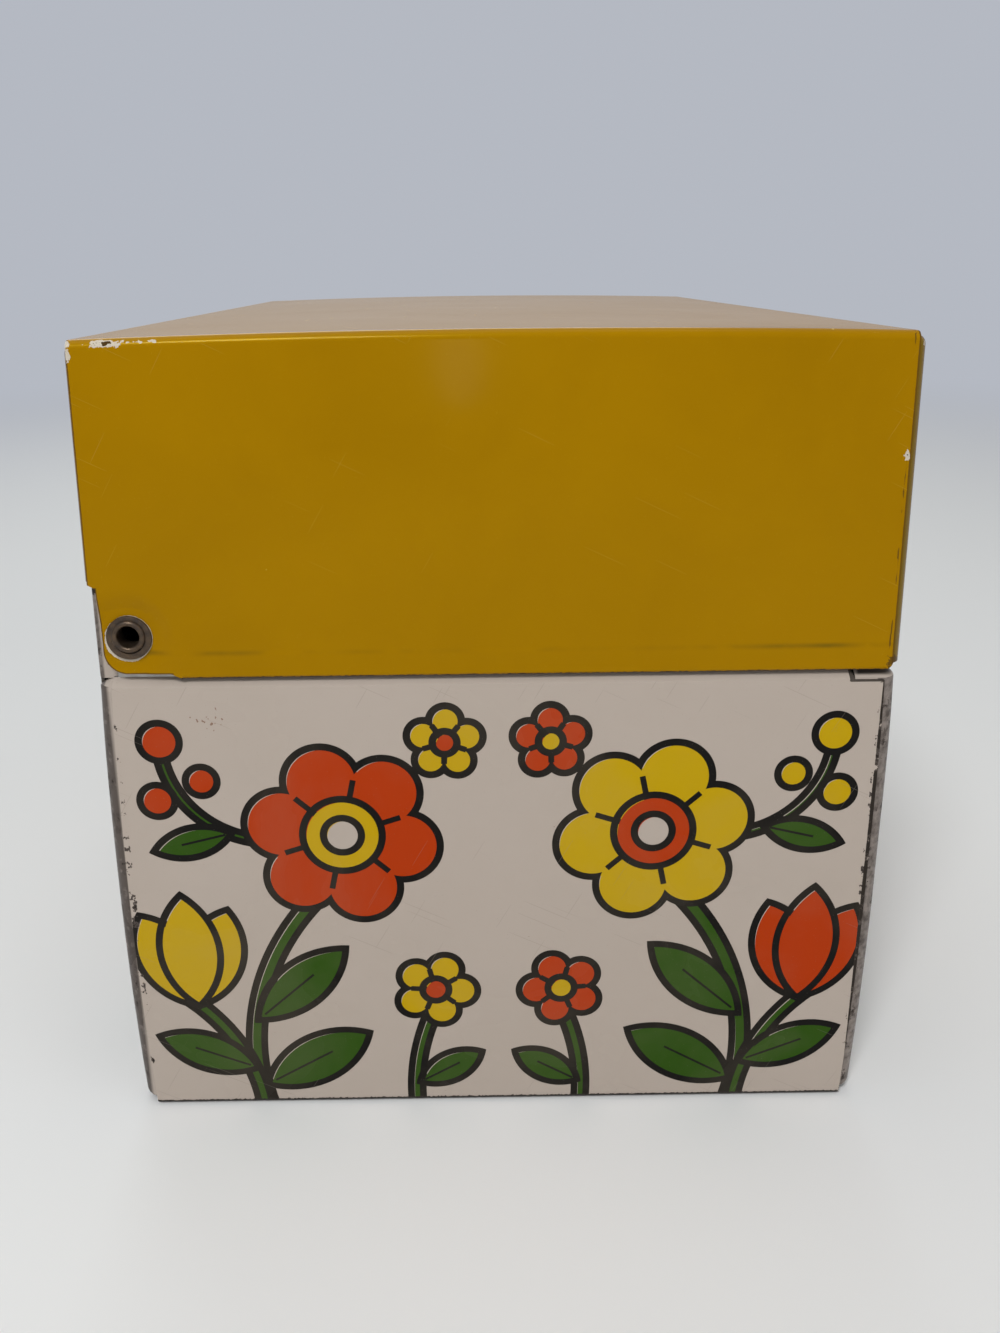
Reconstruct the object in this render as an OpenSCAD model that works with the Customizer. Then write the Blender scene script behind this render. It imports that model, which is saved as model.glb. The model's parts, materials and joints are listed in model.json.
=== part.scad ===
// Tinplate recipe card box: a straight-walled body with a stepped-in neck, and a
// deep lid that turns on two hollow eyelets near its rear corners.
// The middle of the bottom is the origin, X runs along the cards, the front faces -Y.

/* [Overall] */
// Length of the box along the cards, over its end walls
box_length = 133; // [100:1:220]
// Width of the box from its front face to its rear face
box_width = 89; // [70:1:150]
// Height of the body's straight walls, up to the shoulder
body_height = 56; // [40:0.1:90]
// Height of the lid from its lower edge to its top
lid_height = 36.5; // [28:0.1:60]

/* [Sheet] */
// Thickness of the tinplate
sheet = 0.4; // [0.3:0.05:0.5]
// Space between the two layers of a folded edge
fold_gap = 0.1; // [0.05:0.05:0.2]
// Space between two sheets that lap
seam_gap = 0.05; // [0.03:0.01:0.1]
// Height of the folded edges
hem_height = 3; // [2:0.25:4]
// Outer radius of the bends along the top and bottom edges
edge_radius = 1; // [0.8:0.1:1.4]
// Inner radius of the neck's upright corner bends
neck_inner_radius = 0.4; // [0.3:0.1:0.8]
// Width of the corner bends that show beside a body end panel
body_reveal = 1.75; // [0.9:0.05:1.9]
// Width of the front corner bends that show beside a lid end panel
lid_front_reveal = 1.7; // [0.9:0.05:1.9]
// Width of the rear corner bends that show beside a lid end panel
lid_rear_reveal = 1.1; // [0.8:0.05:1.2]
// Depth of the flanges under the top and over the bottom
base_lap = 6; // [4:0.5:10]

/* [Body] */
// Height of the sloped shoulder below the neck
shoulder_rise = 0.9; // [0.7:0.1:1.6]
// Height of the neck above the shoulder
neck_height = 10.1; // [9.5:0.1:14]
// Depth of the rear wall's corner flanges, from its face
rear_lap = 7; // [6.5:0.25:10]
// Length of the cut in the neck at each front corner
neck_cut = 3.6; // [3.2:0.1:6]
// Slope of the end of that cut
neck_cut_slope = 0.45; // [0.2:0.05:1]
// Setback of the neck's rear edge from the end wall's edge
neck_setback = 0.5; // [0.3:0.1:1]

/* [Lid] */
// Space between the neck and the lid's folded edge
lid_clearance = 0.3; // [0.2:0.05:0.6]
// Space between the shoulder and the lid's lower edge
lid_lift = 0.1; // [0.1:0.05:0.4]
// Space between the rear rim and the lid's rear skirt
rear_gap = 0.6; // [0.5:0.1:1.2]
// Depth of the lid's corner flanges, from its faces
lid_lap = 5; // [4:0.25:8]
// Radius of the end panels' lower front corners
lid_corner_radius = 1; // [0.6:0.1:1.3]
// Height that the front skirt's corners stop short of its folded edge
corner_lift = 0.6; // [0.3:0.1:1]

/* [Hinge] */
// Distance of the hinge from the rear face
hinge_setback = 4.1; // [3.7:0.1:5]
// Height of the hinge above the shoulder
hinge_height = 5.1; // [4.5:0.1:6]
// Height of the ear's lower edge above the lid's folded edge
ear_lift = 0.6; // [0.3:0.1:1]
// Reach of the ear's level lower edge in front of the hinge
ear_reach = 4.3; // [4:0.1:6]
// Length of the slope from the ear to the folded edge
ear_slope = 1.3; // [0.8:0.1:2]
// Radius of the ear's lower rear corner
ear_corner_radius = 2.6; // [1.5:0.1:2.8]
// Radius of the flat floor of the ear's pressed dish
dish_radius = 3.2; // [2.8:0.1:3.3]
// Width of the dish's sloping side
dish_slope = 2; // [1:0.1:2.2]
// Space between the ear's dish and the neck
ear_clearance = 0.3; // [0.2:0.05:0.5]
// Diameter of the hole through an eyelet
eyelet_hole_d = 2.4; // [1.8:0.1:2.5]
// Outer diameter of an eyelet's barrel
eyelet_barrel_d = 3; // [2.9:0.1:3.2]
// Diameter of an eyelet's rolled outer head
eyelet_head_d = 3.7; // [3.6:0.1:4.2]
// Diameter of an eyelet's clinched inner rim
eyelet_clinch_d = 3.9; // [3.6:0.1:4.1]
// Radial clearance of the ear on the barrel
running_clearance = 0.06; // [0.02:0.01:0.1]
// Radial clearance of the walls' holes on the barrel
hole_clearance = 0.05; // [0.02:0.01:0.1]
// Outer diameter of a washer
washer_d = 5; // [4.4:0.1:5.4]
// Thickness of a washer
washer_thickness = 0.3; // [0.2:0.05:0.4]
// Radial clearance of a washer on the barrel
washer_clearance = 0.2; // [0.15:0.05:0.25]
// Space between a washer and the ear
washer_gap = 0.1; // [0.05:0.05:0.2]

/* [Hidden] */
$fn = 96;

body_colour = "antiquewhite";
lid_colour = "goldenrod";
metal_colour = "#6b5440";

// The neck steps in by the lid's folded edge and its clearance
fold_radius = sheet + fold_gap / 2;
step_in = 2 * fold_radius + lid_clearance;
corner_radius = step_in + sheet + neck_inner_radius;
// An inner layer's slope sits lower than its outer layer's by this much a millimetre
slope_drop = tan(atan(step_in / shoulder_rise) / 2);

half_length = box_length / 2;
half_width = box_width / 2;
end_half = half_width - body_reveal;
lid_end_front = half_width - lid_front_reveal;
lid_end_rear = half_width - lid_rear_reveal;
// Upright axis of the corner bends, and the same for the neck of the rear wall
corner_x = half_length - sheet - seam_gap - corner_radius;
corner_y = half_width - corner_radius;
neck_corner_y = half_width - corner_radius + step_in;

neck_foot = body_height + shoulder_rise;
rim = neck_foot + neck_height;
lid_edge = neck_foot + lid_lift;
box_height = lid_edge + lid_height;
rear_edge = rim + rear_gap;
floor_lap = sheet + seam_gap;
roof_lap = box_height - sheet - seam_gap;

front_cut_y = neck_cut - end_half;
front_flange_y = front_cut_y - neck_cut_slope - seam_gap;
rim_fold_rear = half_width - rear_lap - lid_clearance;
rear_shoulder = body_height - (sheet + seam_gap) * slope_drop;
hem_front = lid_clearance - corner_y;

hinge_y = half_width - hinge_setback;
hinge_z = neck_foot + hinge_height;
ear_front = hinge_y - ear_reach;
hem_rear = ear_front - ear_slope;
dish_depth = step_in - sheet - ear_clearance;
ear_face = half_length - dish_depth;
washer_face = ear_face + washer_gap + washer_thickness;
clinch_face = corner_x + corner_radius - step_in - sheet - seam_gap;
washer_drop = washer_clearance;
barrel_r = eyelet_barrel_d / 2;
cut_margin = 1;

// Turns a section drawn in Y and Z into a piece along X
module along_x(length) {
  rotate([90, 0, 90])
    linear_extrude(height = length, center = true)
      children();
}

// Turns a section drawn in X and Z into a piece along Y, from one place to another
module along_y(from, to) {
  translate([0, to, 0])
    rotate([90, 0, 0])
      linear_extrude(height = to - from)
        children();
}

module both_ends() {
  children();
  mirror([1, 0, 0])
    children();
}

// Quarter of a bent sheet, with its middle at the origin
module bend(outer_radius) {
  intersection() {
    difference() {
      circle(r = outer_radius);
      circle(r = outer_radius - sheet);
    }
    square(outer_radius);
  }
}

// The turned part of a folded edge: the face is at x = 0 and the edge at y = 0
module fold() {
  translate([-fold_radius, -fold_radius])
    intersection() {
      difference() {
        circle(r = fold_radius);
        circle(r = fold_gap / 2);
      }
      translate([-fold_radius, 0])
        square([2 * fold_radius, fold_radius]);
    }
}

// The layer that a folded edge lays back inside, with the turned part it hangs from
module fold_return() {
  fold();
  translate([-2 * fold_radius, -hem_height])
    square([sheet, hem_height - fold_radius]);
}

// A whole folded edge, with as much of its outer layer
module hem() {
  fold_return();
  translate([-sheet, -hem_height])
    square([sheet, hem_height - fold_radius]);
}

// A plain upright sheet in section
module upright(face, low, high) {
  translate([face - sheet, low])
    square([sheet, high - low]);
}

// An upright sheet that steps in at the shoulder
module stepped(face, low, shoulder, high) {
  drop = sheet * slope_drop;
  polygon([
    [face, low],
    [face, shoulder],
    [face - step_in, shoulder + shoulder_rise],
    [face - step_in, high],
    [face - step_in - sheet, high],
    [face - step_in - sheet, shoulder + shoulder_rise - drop],
    [face - sheet, shoulder - drop],
    [face - sheet, low]
  ]);
}

// The bend at the foot of a wall and its flange over the bottom, back to one place
module foot(face, reach) {
  translate([face - edge_radius, floor_lap + edge_radius])
    mirror([0, 1])
      bend(edge_radius);
  translate([reach, floor_lap])
    square([face - edge_radius - reach, sheet]);
}

// The bend at the head of a skirt and its flange under the top, back to one place
module head(face, reach) {
  translate([face - edge_radius, roof_lap - edge_radius])
    bend(edge_radius);
  translate([reach, roof_lap - sheet])
    square([face - edge_radius - reach, sheet]);
}

// Sweeps a section round a corner on the front, or on the rear
module front_corner(y) {
  translate([corner_x, -y, 0])
    rotate([0, 0, -90])
      rotate_extrude(angle = 90)
        children();
}

module rear_corner(y) {
  translate([corner_x, y, 0])
    rotate_extrude(angle = 90)
      children();
}

module hinge_hole(radius) {
  translate([0, hinge_y, hinge_z])
    rotate([0, 90, 0])
      cylinder(r = radius, h = box_length);
}

// Bottom and both end walls, one sheet bent up
module body_wrap() {
  color(body_colour) {
    along_y(-end_half, end_half)
      translate([edge_radius - half_length, 0])
        square([box_length - 2 * edge_radius, sheet]);
    both_ends()
      end_wall();
  }
}

module end_wall() {
  difference() {
    union() {
      along_y(-end_half, end_half) {
        stepped(half_length, edge_radius, body_height, rim - fold_radius);
        translate([half_length - edge_radius, edge_radius])
          mirror([0, 1])
            bend(edge_radius);
      }
      along_y(-end_half, front_cut_y + neck_cut_slope)
        upright(half_length - step_in, rim - hem_height, rim);
      along_y(rim_fold_rear, end_half)
        upright(half_length - step_in, rim - hem_height, rim);
      along_y(front_cut_y, rim_fold_rear)
        translate([half_length - step_in, rim])
          hem();
    }
    neck_front_cut();
    neck_rear_cut();
    hinge_hole(barrel_r + hole_clearance);
  }
}

module neck_front_cut() {
  cut_z = body_height - sheet * slope_drop;
  translate([half_length, 0, 0])
    along_x(4 * step_in)
      polygon([
        [-half_width, cut_z],
        [front_cut_y - neck_cut_slope, cut_z],
        [front_cut_y, neck_foot],
        [front_cut_y, rim + cut_margin],
        [-half_width, rim + cut_margin]
      ]);
}

module neck_rear_cut() {
  translate([half_length, 0, 0])
    along_x(4 * step_in)
      translate([end_half - neck_setback, neck_foot])
        square([neck_setback + body_reveal, neck_height + cut_margin]);
}

// Front wall with its corner bends, corner flanges and foot
module front_wall() {
  color(body_colour) {
    along_x(2 * corner_x)
      translate([-corner_y, 0])
        mirror([1, 0]) {
          stepped(corner_radius, floor_lap + edge_radius, body_height, rim - fold_radius);
          foot(corner_radius, corner_radius - base_lap);
          translate([corner_radius - step_in, rim])
            fold();
        }
    along_x(2 * (corner_x - lid_clearance))
      translate([step_in - half_width, rim])
        mirror([1, 0])
          fold_return();
    both_ends() {
      front_corner(corner_y) {
        stepped(corner_radius, floor_lap + edge_radius, body_height, rim);
        foot(corner_radius, 0);
      }
      along_y(-corner_y, front_flange_y)
        stepped(corner_x + corner_radius, floor_lap + edge_radius, body_height, rim);
    }
  }
}

// Rear wall, which stays flat up to its rim and steps in only at its ends
module rear_wall() {
  color(body_colour)
    difference() {
      union() {
        along_x(2 * corner_x)
          translate([corner_y, 0]) {
            upright(corner_radius, floor_lap + edge_radius, rim - fold_radius);
            foot(corner_radius, corner_radius - base_lap);
            translate([corner_radius, rim])
              fold();
          }
        along_x(2 * (corner_x - lid_clearance))
          translate([half_width, rim])
            fold_return();
        both_ends()
          rear_wall_end();
      }
      both_ends()
        hinge_hole(barrel_r + hole_clearance);
    }
}

module rear_wall_end() {
  rear_neck_foot = rear_shoulder + shoulder_rise;
  rear_corner(corner_y) {
    stepped(corner_radius, floor_lap + edge_radius, rear_shoulder, rear_neck_foot);
    foot(corner_radius, 0);
  }
  along_y(half_width - rear_lap, corner_y)
    stepped(corner_x + corner_radius, floor_lap + edge_radius, rear_shoulder, rim);
  along_y(corner_y, neck_corner_y)
    upright(corner_x + corner_radius - step_in, rear_neck_foot, rim);
  rear_corner(neck_corner_y)
    upright(corner_radius - step_in, rear_neck_foot, rim);
}

// Top and both end skirts of the lid, one sheet bent down, with the hinge ears
module lid_wrap() {
  color(lid_colour) {
    along_y(-lid_end_front, lid_end_rear)
      translate([edge_radius - half_length, box_height - sheet])
        square([box_length - 2 * edge_radius, sheet]);
    both_ends()
      end_skirt();
  }
}

module end_skirt() {
  along_y(-lid_end_front, lid_end_rear)
    translate([half_length - edge_radius, box_height - edge_radius])
      bend(edge_radius);
  along_y(hem_front, hem_rear)
    translate([half_length, lid_edge])
      mirror([0, 1])
        hem();
  translate([half_length - sheet / 2, 0, 0])
    along_x(sheet)
      difference() {
        skirt_outline();
        translate([hinge_y, hinge_z])
          circle(r = dish_radius + dish_slope);
      }
  intersection() {
    ear_dish();
    translate([half_length, 0, 0])
      along_x(4 * step_in)
        skirt_outline();
  }
}

// Outline of an end skirt in Y and Z, with the ear at its lower rear corner
module skirt_outline() {
  difference() {
    translate([-lid_end_front, lid_edge])
      square([lid_end_front + lid_end_rear, lid_height - edge_radius]);
    translate([hem_front, lid_edge - cut_margin])
      square([hem_rear - hem_front, cut_margin + fold_radius]);
    polygon([
      [hem_rear, lid_edge - cut_margin],
      [hem_rear, lid_edge],
      [ear_front, lid_edge + ear_lift],
      [half_width, lid_edge + ear_lift],
      [half_width, lid_edge - cut_margin]
    ]);
    translate([lid_end_rear, lid_edge + ear_lift])
      mirror([1, 0])
        corner_waste(ear_corner_radius);
    translate([-lid_end_front, lid_edge])
      corner_waste(lid_corner_radius);
  }
}

// What a rounded lower left corner loses, for a corner at the origin
module corner_waste(radius) {
  difference() {
    translate([-cut_margin, -cut_margin])
      square(radius + cut_margin);
    translate([radius, radius])
      circle(r = radius);
  }
}

// The round dish pressed into an ear, with the hole that turns on the eyelet and a
// narrow flat ring that joins the ear
module ear_dish() {
  floor_in = half_length - dish_depth - sheet;
  rim_r = dish_radius + dish_slope;
  flat_r = rim_r + sheet;
  bore_r = barrel_r + running_clearance;
  translate([0, hinge_y, hinge_z])
    rotate([0, 90, 0])
      rotate_extrude()
        polygon([
          [bore_r, floor_in],
          [dish_radius, floor_in],
          [rim_r, half_length - sheet],
          [flat_r, half_length - sheet],
          [flat_r, half_length],
          [rim_r, half_length],
          [dish_radius, floor_in + sheet],
          [bore_r, floor_in + sheet]
        ]);
}

// A skirt of the lid with its top flange and its corner bends, seen from its lower edge up
module lid_skirt(edge, corner_edge, flange_edge) {
  along_x(2 * corner_x)
    translate([corner_y, 0]) {
      upright(corner_radius, edge, roof_lap - edge_radius);
      head(corner_radius, corner_radius - base_lap);
    }
  both_ends() {
    rear_corner(corner_y) {
      upright(corner_radius, corner_edge, roof_lap - edge_radius);
      head(corner_radius, 0);
    }
    along_y(half_width - lid_lap, corner_y)
      upright(corner_x + corner_radius, flange_edge, roof_lap - edge_radius);
  }
}

// Front skirt of the lid, with a folded lower edge
module lid_front() {
  color(lid_colour)
    mirror([0, 1, 0]) {
      lid_skirt(lid_edge + fold_radius, lid_edge + corner_lift,
                lid_edge + hem_height + lid_clearance);
      along_x(2 * corner_x)
        translate([half_width, lid_edge])
          mirror([0, 1])
            fold();
      along_x(2 * (corner_x - lid_clearance))
        translate([half_width, lid_edge])
          mirror([0, 1])
            fold_return();
    }
}

// Rear skirt of the lid, which stops above the rear wall's rim
module lid_rear() {
  color(lid_colour)
    lid_skirt(rear_edge, rear_edge, rear_edge);
}

// Hollow eyelet at the right end, with its head outside and its rim clinched inside
module eyelet() {
  hole_r = eyelet_hole_d / 2;
  head_r = (eyelet_head_d / 2 - hole_r) / 2;
  clinch_r = (eyelet_clinch_d / 2 - hole_r) / 2;
  head_face = washer_face + seam_gap;
  color(metal_colour)
    translate([0, hinge_y, hinge_z])
      rotate([0, 90, 0])
        rotate_extrude() {
          translate([hole_r, clinch_face])
            square([barrel_r - hole_r, head_face - clinch_face]);
          translate([hole_r + head_r, head_face])
            half_disc(head_r);
          translate([hole_r + clinch_r, clinch_face])
            mirror([0, 1])
              half_disc(clinch_r);
        }
}

module half_disc(radius) {
  intersection() {
    circle(r = radius);
    translate([-radius, 0])
      square([2 * radius, radius]);
  }
}

// Washer at the right end, which hangs a little low on the barrel
module washer() {
  color(metal_colour)
    translate([washer_face - washer_thickness, hinge_y, hinge_z - washer_drop])
      rotate([0, 90, 0])
        difference() {
          cylinder(d = washer_d, h = washer_thickness);
          translate([0, 0, -cut_margin])
            cylinder(r = barrel_r + washer_clearance + seam_gap,
                     h = washer_thickness + 2 * cut_margin);
        }
}

module hinge_eyelet_right() {
  eyelet();
}

module hinge_eyelet_left() {
  mirror([1, 0, 0])
    eyelet();
}

module hinge_washer_right() {
  washer();
}

module hinge_washer_left() {
  mirror([1, 0, 0])
    washer();
}

body_wrap();
front_wall();
rear_wall();
lid_wrap();
lid_front();
lid_rear();
hinge_eyelet_left();
hinge_eyelet_right();
hinge_washer_left();
hinge_washer_right();
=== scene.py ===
import json
import math

import bmesh
import bpy
from mathutils import Matrix, Vector


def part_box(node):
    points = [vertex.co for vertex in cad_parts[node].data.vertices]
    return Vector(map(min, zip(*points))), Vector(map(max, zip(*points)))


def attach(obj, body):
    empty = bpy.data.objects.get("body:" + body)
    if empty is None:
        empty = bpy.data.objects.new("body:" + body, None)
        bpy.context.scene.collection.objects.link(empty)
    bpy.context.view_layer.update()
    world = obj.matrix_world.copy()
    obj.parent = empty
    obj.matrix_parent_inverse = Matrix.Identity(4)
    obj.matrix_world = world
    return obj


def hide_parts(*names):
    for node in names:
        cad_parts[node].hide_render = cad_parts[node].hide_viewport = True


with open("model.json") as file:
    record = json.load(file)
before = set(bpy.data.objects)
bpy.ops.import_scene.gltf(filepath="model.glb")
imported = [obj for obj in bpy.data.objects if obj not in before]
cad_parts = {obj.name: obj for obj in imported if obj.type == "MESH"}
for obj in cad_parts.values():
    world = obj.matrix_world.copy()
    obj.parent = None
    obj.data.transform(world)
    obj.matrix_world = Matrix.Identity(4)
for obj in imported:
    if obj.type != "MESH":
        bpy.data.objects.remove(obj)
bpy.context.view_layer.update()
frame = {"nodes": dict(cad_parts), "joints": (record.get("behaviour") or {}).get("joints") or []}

mm = 0.001

# Places that every piece works from, in millimetres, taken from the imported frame
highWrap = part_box("body_wrap")[1]
lowLid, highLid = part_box("lid_wrap")
lowFront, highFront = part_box("front_wall")
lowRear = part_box("lid_rear")[0]
hinge = Vector(frame["joints"][0]["pos_m"]) / mm

tin = {
    "sheet": 0.4,
    "hem": 3.0,
    "edgeRadius": 1.0,
    "cornerRadius": 2.0,
    "halfLength": highWrap.x / mm,
    "halfWidth": -lowFront.y / mm,
    "endHalf": highWrap.y / mm,  # half the width of a body end panel
    "lidEndFront": -lowLid.y / mm,  # and how far a lid end panel reaches to the front
    "lidEndRear": highLid.y / mm,  # and to the rear
    "cornerX": highFront.x / mm - 2.0,
    "rim": highWrap.z / mm,
    "shoulder": highWrap.z / mm - 11.0,
    "shoulderRise": 0.9,
    "stepIn": 1.2,
    "lidEdge": lowLid.z / mm,
    "top": highLid.z / mm,
    "rearEdge": lowRear.z / mm,
}
tin["cornerY"] = tin["halfWidth"] - tin["cornerRadius"]


# Camera at the photograph's viewpoint, looking at the left end

cameraSetup = {
    "place": (-183.3, 3.84, 100.35),
    "pitch": 17.23,
    "turn": -0.31,
    "roll": -0.64,
    "focal": 1122.0,  # in pixels of the 1000 x 1333 frame
    "longSide": 1333.0,
    "offset": (-32.2, -52.4),  # where the optical axis falls, from the frame's middle
}


def addObject(name, data):
    made = bpy.data.objects.new(name, data)
    bpy.context.scene.collection.objects.link(made)
    return made


def makeCamera(setup):
    pitch, turn, roll = (math.radians(setup[key]) for key in ("pitch", "turn", "roll"))
    forward = Vector((math.cos(pitch) * math.cos(turn), math.cos(pitch) * math.sin(turn), -math.sin(pitch)))
    right = forward.cross(Vector((0, 0, 1))).normalized()
    up = right.cross(forward)
    rolledRight = math.cos(roll) * right + math.sin(roll) * up
    rolledUp = math.cos(roll) * up - math.sin(roll) * right
    data = bpy.data.cameras.new("endView")
    data.sensor_width = 36
    data.lens = setup["focal"] / setup["longSide"] * data.sensor_width
    data.shift_x = -setup["offset"][0] / setup["longSide"]
    data.shift_y = setup["offset"][1] / setup["longSide"]
    data.clip_start = 0.005
    data.clip_end = 10
    camera = addObject("endView", data)
    turned = Matrix((rolledRight, rolledUp, -forward)).transposed().to_4x4()
    camera.matrix_world = Matrix.Translation(Vector(setup["place"]) * mm) @ turned
    bpy.context.scene.camera = camera


makeCamera(cameraSetup)
print("camera set")


# Helpers for shader trees

def plug(tree, socket, value):
    if isinstance(value, bpy.types.NodeSocket):
        tree.links.new(value, socket)
    elif value is not None:
        socket.default_value = value


def plugAll(tree, node, **values):
    # sockets are named with underscores for spaces
    for key, value in values.items():
        plug(tree, node.inputs[key.replace("_", " ")], value)
    return node.outputs


def addNode(tree, kind, settings=None, **values):
    node = tree.nodes.new("ShaderNode" + kind)
    for key, value in (settings or {}).items():
        setattr(node, key, value)
    return plugAll(tree, node, **values)


def mathNode(tree, operation, *values):
    node = tree.nodes.new("ShaderNodeMath")
    node.operation = operation
    for index, value in enumerate(values):
        plug(tree, node.inputs[index], value)
    return node.outputs[0]


def joinedBy(operation):
    # a function that joins any number of values by one operation, from the left
    def joined(tree, *values):
        total = values[0]
        for value in values[1:]:
            total = mathNode(tree, operation, total, value)
        return total
    return joined


add, subtract, product, lowest, highest, below, above = (joinedBy(operation) for operation in (
    "ADD", "SUBTRACT", "MULTIPLY", "MINIMUM", "MAXIMUM", "LESS_THAN", "GREATER_THAN"))


def absolute(tree, value):
    return mathNode(tree, "ABSOLUTE", value)


def vectorNode(tree, operation, *values):
    node = tree.nodes.new("ShaderNodeVectorMath")
    node.operation = operation
    for index, value in enumerate(values):
        plug(tree, node.inputs[index], value)
    return node.outputs["Value" if operation in ("LENGTH", "DISTANCE", "DOT_PRODUCT") else "Vector"]


def distanceFrom(tree, vector, point):
    return vectorNode(tree, "LENGTH", vectorNode(tree, "SUBTRACT", vector, point))


def mapNode(tree, value, fromLow, fromHigh, toLow=0.0, toHigh=1.0):
    node = tree.nodes.new("ShaderNodeMapRange")
    for index, item in enumerate((value, fromLow, fromHigh, toLow, toHigh)):
        plug(tree, node.inputs[index], item)
    return node.outputs[0]


def mixColour(tree, factor, first, second):
    node = tree.nodes.new("ShaderNodeMix")
    node.data_type = "RGBA"
    plug(tree, node.inputs["Factor"], factor)
    plug(tree, node.inputs[6], first)
    plug(tree, node.inputs[7], second)
    return node.outputs[2]


def mixNumber(tree, factor, first, second):
    node = tree.nodes.new("ShaderNodeMix")
    plug(tree, node.inputs["Factor"], factor)
    plug(tree, node.inputs[2], first)
    plug(tree, node.inputs[3], second)
    return node.outputs[0]


def noiseNode(tree, vector, scale, detail=2.0, roughness=0.5, distortion=0.0):
    return addNode(tree, "TexNoise", Vector=vector, Scale=scale, Detail=detail, Roughness=roughness,
                   Distortion=distortion)["Fac"]


def mappingNode(tree, vector, location=(0, 0, 0), rotation=(0, 0, 0), scale=(1, 1, 1), kind="POINT"):
    return addNode(tree, "Mapping", {"vector_type": kind}, Vector=vector, Location=location,
                   Rotation=rotation, Scale=scale)["Vector"]


def splitVector(tree, vector):
    return addNode(tree, "SeparateXYZ", Vector=vector)


def joinVector(tree, x=0.0, y=0.0, z=0.0):
    return addNode(tree, "CombineXYZ", X=x, Y=y, Z=z)["Vector"]


def mixShaders(tree, factor, first, second):
    node = tree.nodes.new("ShaderNodeMixShader")
    for index, item in enumerate((factor, first, second)):
        plug(tree, node.inputs[index], item)
    return node.outputs[0]


def newGroup(name, inputs, outputs):
    # an input with one number is a float, and any other a vector
    tree = bpy.data.node_groups.new(name, "ShaderNodeTree")
    for label, value in inputs.items():
        kind = "Float" if isinstance(value, float) else "Vector"
        socket = tree.interface.new_socket(name=label, in_out="INPUT", socket_type="NodeSocket" + kind)
        if value is not None:
            socket.default_value = value
    for label in outputs:
        kind = "Color" if label == "Color" else "Float"
        tree.interface.new_socket(name=label, in_out="OUTPUT", socket_type="NodeSocket" + kind)
    return tree, tree.nodes.new("NodeGroupInput").outputs, tree.nodes.new("NodeGroupOutput").inputs


def useGroup(tree, group, **values):
    node = tree.nodes.new("ShaderNodeGroup")
    node.node_tree = group
    return plugAll(tree, node, **values)


# Shapes that the print is drawn with: each gives the distance to its outline, in millimetres

def makeLeafShape():
    tree, given, made = newGroup("leafShape", {"Vector": None, "Radius": 10.0, "Sink": 8.0}, ["Distance"])
    x, y, _ = splitVector(tree, given["Vector"])
    sunk = add(tree, absolute(tree, y), given["Sink"])
    reach = vectorNode(tree, "LENGTH", joinVector(tree, x, sunk))
    plug(tree, made["Distance"], subtract(tree, reach, given["Radius"]))
    return tree


def makeBlossomShape():
    tree, given, made = newGroup("blossomShape", {"Vector": None, "Sector": 1.0, "Reach": 6.0, "Lobe": 4.0},
                                 ["Distance", "Spoke", "Radius"])
    x, y, _ = splitVector(tree, given["Vector"])
    radius = vectorNode(tree, "LENGTH", joinVector(tree, x, y))
    half = product(tree, given["Sector"], 0.5)
    angle = mathNode(tree, "WRAP", mathNode(tree, "ARCTAN2", y, x), half, product(tree, half, -1.0))
    along = product(tree, radius, mathNode(tree, "COSINE", angle))
    across = product(tree, radius, mathNode(tree, "SINE", angle))
    lobe = vectorNode(tree, "LENGTH", joinVector(tree, subtract(tree, along, given["Reach"]), across))
    plug(tree, made["Distance"], subtract(tree, lobe, given["Lobe"]))
    edge = subtract(tree, half, absolute(tree, angle))
    plug(tree, made["Spoke"], product(tree, radius, mathNode(tree, "SINE", edge)))
    plug(tree, made["Radius"], radius)
    return tree


def makeArcShape():
    sizes = {"Vector": None, "Radius": 20.0, "Half Width": 0.9}
    tree, given, made = newGroup("arcShape", sizes, ["Distance"])
    x, y, _ = splitVector(tree, given["Vector"])
    off = subtract(tree, vectorNode(tree, "LENGTH", joinVector(tree, x, y)), given["Radius"])
    plug(tree, made["Distance"], subtract(tree, absolute(tree, off), given["Half Width"]))
    return tree


leafShape = makeLeafShape()
blossomShape = makeBlossomShape()
arcShape = makeArcShape()


# The floral print. One bed of flowers is drawn, and repeats mirrored with its two colours swapped

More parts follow.
